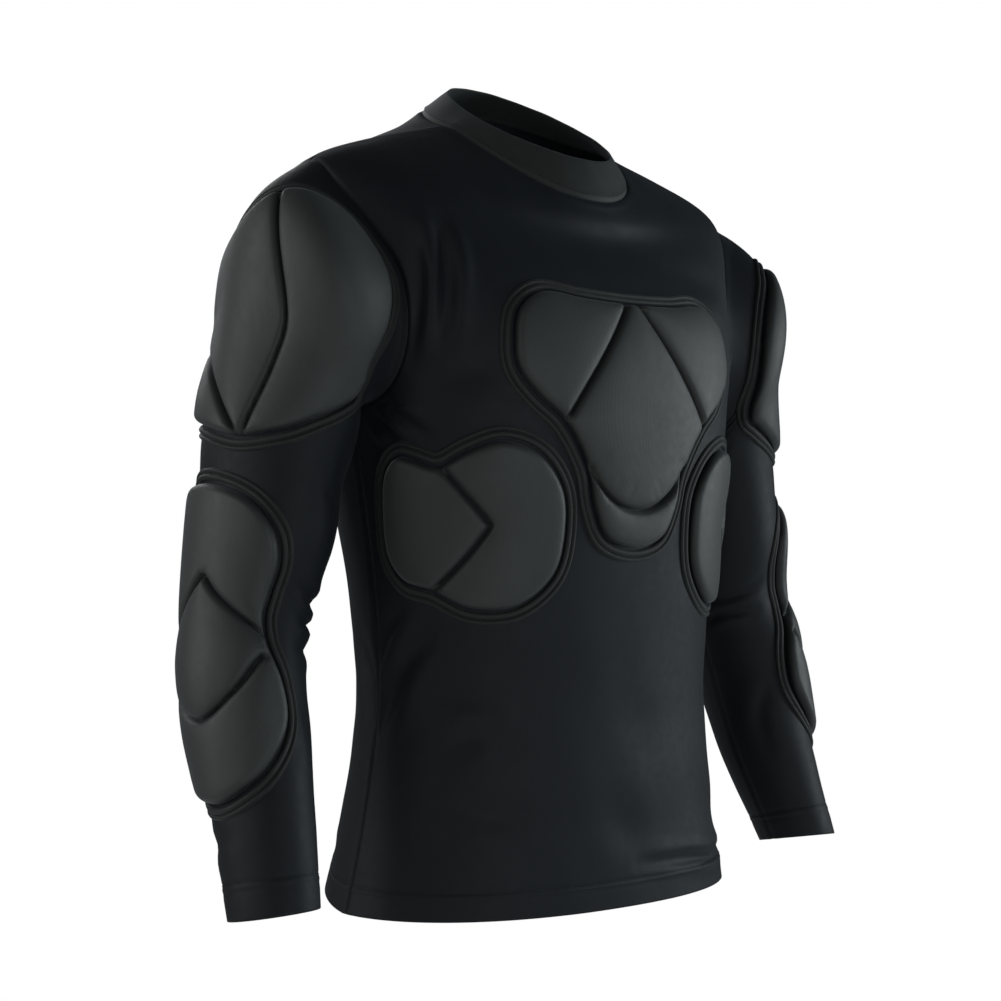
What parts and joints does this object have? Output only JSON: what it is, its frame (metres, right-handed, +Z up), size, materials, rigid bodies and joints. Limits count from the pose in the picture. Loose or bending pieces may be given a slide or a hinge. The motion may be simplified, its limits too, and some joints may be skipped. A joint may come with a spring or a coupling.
{
  "type": "padded compression shirt",
  "caption": "Close-fitting long-sleeved jersey top with sewn-on foam pads on the chest, ribs, shoulders and elbows, in the hollow shape it has when worn.",
  "frame": {"origin": "on the neck's axis, level with the side of the collar seam", "axes": "+Z up, the wearer faces -Y, +X is the wearer's left"},
  "size_m": [0.6436, 0.262, 0.6623],
  "materials": {
    "jersey": "smooth near-black stretch jersey with a soft sheen",
    "collar_cloth": "matt dark olive-grey knitted band",
    "foam_cover": "matt dark olive-grey cloth over moulded foam",
    "trim": "matt dark welted trim with two ridges"
  },
  "bodies": {
    "root": {"front_panel": "jersey", "back_panel": "jersey", "sleeve_left": "jersey", "sleeve_right": "jersey", "collar": "collar_cloth", "chest_pad": "foam_cover", "chest_pad_border": "trim", "rib_pad_left": "foam_cover", "rib_pad_border_left": "trim", "rib_pad_right": "foam_cover", "rib_pad_border_right": "trim", "shoulder_pad_left": "foam_cover", "shoulder_pad_border_left": "trim", "shoulder_pad_right": "foam_cover", "shoulder_pad_border_right": "trim", "elbow_pad_left": "foam_cover", "elbow_pad_border_left": "trim", "elbow_pad_right": "foam_cover", "elbow_pad_border_right": "trim"}
  },
  "joints": []
}
